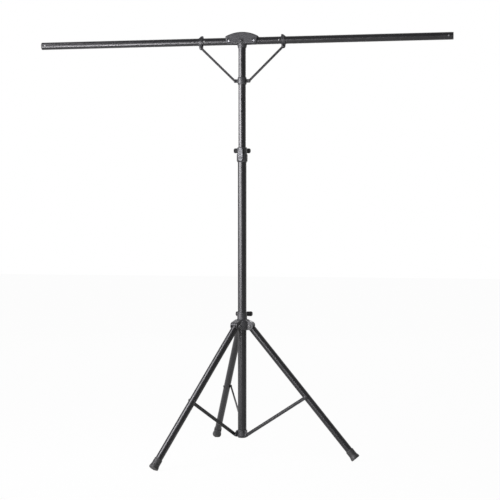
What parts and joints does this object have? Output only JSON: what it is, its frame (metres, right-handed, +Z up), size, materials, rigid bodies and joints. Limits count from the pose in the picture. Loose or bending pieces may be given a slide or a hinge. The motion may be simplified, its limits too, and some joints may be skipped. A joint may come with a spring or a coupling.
{
  "type": "light stand",
  "caption": "Telescopic light stand on a folding tripod, with a head that carries a crossbar of two hinged, strut-braced arms for hanging lamps.",
  "frame": {"origin": "on the floor under the mast's axis, at the middle of the tripod", "axes": "+Z up along the mast; +X level along leg 1, with the crossbar turned 6.5 degrees from it; +Y level towards the back"},
  "size_m": [1.6822, 0.842, 1.717],
  "materials": {
    "tube_steel": "black satin paint on round steel tube",
    "strap_steel": "black satin paint on flat steel",
    "moulded_nylon": "fine-grained moulded nylon, grey-black",
    "inner_nylon": "plain moulded nylon, black",
    "foot_rubber": "moulded black rubber",
    "black_steel": "black oxide on bolts and rivets",
    "zinc_steel": "bright zinc plate"
  },
  "bodies": {
    "column": {"lower_tube": "tube_steel", "lower_tube_plug": "inner_nylon", "hub_stop_rivet": "black_steel", "lock_collar": "moulded_nylon", "lock_sleeve": "inner_nylon", "lock_collar_screw": "zinc_steel", "brace_collar": "moulded_nylon", "brace_collar_screw": "black_steel", "brace_pin_1": "black_steel", "brace_pin_2": "black_steel", "brace_pin_3": "black_steel"},
    "sliding_hub": {"hub": "moulded_nylon", "leg_bolt_1": "zinc_steel", "leg_bolt_2": "zinc_steel", "leg_bolt_3": "zinc_steel"},
    "hub_clamp_knob": {"hub_knob": "moulded_nylon", "hub_knob_screw": "zinc_steel"},
    "mast_clamp_knob": {"lock_knob": "moulded_nylon", "lock_knob_screw": "zinc_steel"},
    "leg_1": {"leg_tube_1": "tube_steel", "foot_1": "foot_rubber", "leg_brace_bolt_1": "black_steel"},
    "leg_2": {"leg_tube_2": "tube_steel", "foot_2": "foot_rubber", "leg_brace_bolt_2": "black_steel"},
    "leg_3": {"leg_tube_3": "tube_steel", "foot_3": "foot_rubber", "leg_brace_bolt_3": "black_steel"},
    "leg_brace_1": {"brace_1": "strap_steel", "brace_rivet_1": "black_steel"},
    "leg_brace_2": {"brace_2": "strap_steel", "brace_rivet_2": "black_steel"},
    "leg_brace_3": {"brace_3": "strap_steel", "brace_rivet_3": "black_steel"},
    "mast_guide": {"mast_guide_bush": "inner_nylon"},
    "mast": {"upper_tube": "tube_steel", "head_shell_front": "moulded_nylon", "head_shell_back": "moulded_nylon", "head_bolt": "black_steel", "arm_bolt_left": "zinc_steel", "arm_bolt_right": "zinc_steel"},
    "sliding_collar": {"strut_collar": "moulded_nylon", "strut_collar_screw": "black_steel", "collar_rivet_left": "black_steel", "collar_rivet_right": "black_steel"},
    "arm_left": {"arm_tube_left": "tube_steel", "arm_cap_left": "inner_nylon", "arm_rivet_left": "zinc_steel", "strut_clamp_left": "moulded_nylon", "strut_pin_left": "black_steel"},
    "arm_right": {"arm_tube_right": "tube_steel", "arm_cap_right": "inner_nylon", "arm_rivet_right": "zinc_steel", "strut_clamp_right": "moulded_nylon", "strut_pin_right": "black_steel"},
    "arm_strut_left": {"strut_left": "strap_steel", "strut_stud_left": "black_steel"},
    "arm_strut_right": {"strut_right": "strap_steel", "strut_stud_right": "black_steel"}
  },
  "joints": [
    {"name": "hub_slide", "type": "slide", "parent": "column", "child": "sliding_hub", "axis": [0, 0, 1], "range_m": [0, 0.21702]},
    {"name": "leg_1_fold", "type": "hinge", "parent": "sliding_hub", "child": "leg_1", "pos_m": [0.035, 0, 0.527], "axis": [0, 1, 0], "range_deg": [0, 38.51]},
    {"name": "leg_2_fold", "type": "hinge", "parent": "sliding_hub", "child": "leg_2", "pos_m": [-0.0175, 0.03031, 0.527], "axis": [-0.866, -0.5, 0], "range_deg": [0, 38.51]},
    {"name": "leg_3_fold", "type": "hinge", "parent": "sliding_hub", "child": "leg_3", "pos_m": [-0.0175, -0.03031, 0.527], "axis": [0.866, -0.5, 0], "range_deg": [0, 38.51]},
    {"name": "brace_1_fold", "type": "hinge", "parent": "column", "child": "leg_brace_1", "pos_m": [0.022, 0, 0.085], "axis": [0, -1, 0], "range_deg": [0, 52.2]},
    {"name": "brace_2_fold", "type": "hinge", "parent": "column", "child": "leg_brace_2", "pos_m": [-0.011, 0.01905, 0.085], "axis": [0.866, 0.5, 0], "range_deg": [0, 52.2]},
    {"name": "brace_3_fold", "type": "hinge", "parent": "column", "child": "leg_brace_3", "pos_m": [-0.011, -0.01905, 0.085], "axis": [-0.866, 0.5, 0], "range_deg": [0, 52.2]},
    {"name": "hub_knob_turn", "type": "hinge", "parent": "sliding_hub", "child": "hub_clamp_knob", "pos_m": [0, 0, 0.573], "axis": [-0.1392, 0.9903, 0], "range_deg": [0, 450]},
    {"name": "mast_knob_turn", "type": "hinge", "parent": "column", "child": "mast_clamp_knob", "pos_m": [0, 0, 1.242], "axis": [-0.2756, 0.9613, 0], "range_deg": [0, 450]},
    {"name": "mast_slide", "type": "slide", "parent": "column", "child": "mast_guide", "axis": [0, 0, 1], "range_m": [-0.25, 0.65]},
    {"name": "mast_swivel", "type": "hinge", "parent": "mast_guide", "child": "mast", "pos_m": [0, 0, 1.682], "axis": [0, 0, 1], "continuous": true},
    {"name": "arm_right_fold", "type": "hinge", "parent": "mast", "child": "arm_right", "pos_m": [0.05067, 0.00577, 1.682], "axis": [-0.1132, 0.9936, 0], "range_deg": [0, 90]},
    {"name": "arm_left_fold", "type": "hinge", "parent": "mast", "child": "arm_left", "pos_m": [-0.05067, -0.00577, 1.682], "axis": [0.1132, -0.9936, 0], "range_deg": [0, 90.01]},
    {"name": "strut_right_fold", "type": "hinge", "parent": "arm_right", "child": "arm_strut_right", "pos_m": [0.16791, 0.01913, 1.6575], "axis": [0.1132, -0.9936, 0], "range_deg": [0, 136.51]},
    {"name": "strut_left_fold", "type": "hinge", "parent": "arm_left", "child": "arm_strut_left", "pos_m": [-0.16791, -0.01913, 1.6575], "axis": [-0.1132, 0.9936, 0], "range_deg": [0, 136.51]},
    {"name": "strut_collar_slide", "type": "slide", "parent": "mast", "child": "sliding_collar", "axis": [0, 0, -1], "range_m": [0, 0.15216]}
  ],
  "couplings": [
    {"joint": "leg_1_fold", "follows": "hub_slide", "rad_per_m": 3.0963},
    {"joint": "leg_2_fold", "follows": "hub_slide", "rad_per_m": 3.0963},
    {"joint": "leg_3_fold", "follows": "hub_slide", "rad_per_m": 3.0963},
    {"joint": "brace_1_fold", "follows": "hub_slide", "rad_per_m": 4.1968},
    {"joint": "brace_2_fold", "follows": "hub_slide", "rad_per_m": 4.1968},
    {"joint": "brace_3_fold", "follows": "hub_slide", "rad_per_m": 4.1968},
    {"joint": "arm_left_fold", "follows": "arm_right_fold", "ratio": 1},
    {"joint": "strut_right_fold", "follows": "arm_right_fold", "ratio": 1.5167},
    {"joint": "strut_left_fold", "follows": "arm_right_fold", "ratio": 1.5167},
    {"joint": "strut_collar_slide", "follows": "arm_right_fold", "m_per_rad": 0.096862}
  ]
}
